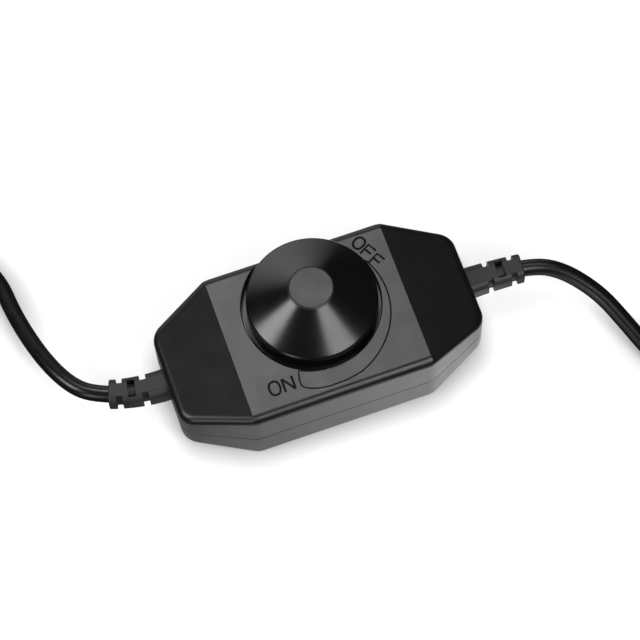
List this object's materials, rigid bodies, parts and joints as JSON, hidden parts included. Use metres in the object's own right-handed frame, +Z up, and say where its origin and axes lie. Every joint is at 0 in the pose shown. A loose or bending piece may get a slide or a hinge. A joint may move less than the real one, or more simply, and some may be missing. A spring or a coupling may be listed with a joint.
{
  "type": "led strip dimmer",
  "caption": "Inline rotary dimmer for a low-voltage light strip: faceted black housing with a conical thumb knob, and short leads that end in a barrel socket and a barrel plug.",
  "frame": {"origin": "centre of the housing's flat underside, on the surface that it rests on", "axes": "+X along the housing from the input lead towards the output lead, +Y towards the back edge that the knob overhangs, +Z up through the knob"},
  "size_m": [0.2128, 0.097, 0.0297],
  "materials": {
    "housing_plastic": "fine matte texture",
    "knob_plastic": "polished",
    "boot_rubber": "matte",
    "lead_jacket": "smooth",
    "connector_plastic": "satin",
    "screw_steel": "zinc plated",
    "case_steel": "drawn",
    "nickel": "nickel plated",
    "brass_contact": "plain",
    "board_laminate": "solder mask",
    "phenolic": "plain",
    "carbon": "printed",
    "switch_plastic": "plain",
    "chip_epoxy": "moulded",
    "capacitor_sleeve": "sleeved can",
    "ceramic": "fired",
    "solder": "bright",
    "wire_red": "smooth",
    "wire_black": "smooth",
    "insulator": "plain"
  },
  "bodies": {
    "housing": {"upper_housing": "housing_plastic", "lower_housing": "housing_plastic", "housing_screws": "screw_steel", "circuit_board": "board_laminate", "pot_case": "case_steel", "pot_wafer": "phenolic", "pot_track": "carbon", "pot_bushing": "nickel", "pot_washer": "case_steel", "pot_nut": "nickel", "pot_switch": "switch_plastic", "pot_terminals": "solder", "power_transistor": "chip_epoxy", "timer_chip": "chip_epoxy", "filter_capacitor": "capacitor_sleeve", "chip_resistors": "chip_epoxy", "chip_capacitors": "ceramic", "protection_diode": "chip_epoxy", "input_boot": "boot_rubber", "output_boot": "boot_rubber", "input_lead": "lead_jacket", "output_lead": "lead_jacket", "input_wire_positive": "wire_red", "input_wire_negative": "wire_black", "output_wire_positive": "wire_red", "output_wire_negative": "wire_black", "solder_joints": "solder", "dc_socket_body": "connector_plastic", "dc_socket_sleeve": "nickel", "dc_socket_pin": "nickel", "dc_plug_grip": "connector_plastic", "dc_plug_barrel": "nickel", "dc_plug_insulator": "insulator", "dc_plug_contact": "brass_contact"},
    "knob": {"knob": "knob_plastic", "pot_shaft": "nickel", "pot_wiper": "brass_contact"}
  },
  "joints": [
    {"name": "knob_turn", "type": "hinge", "parent": "housing", "child": "knob", "pos_m": [0.00025, 0.0044, 0.02], "axis": [0, 0, -1], "range_deg": [0, 300]}
  ]
}
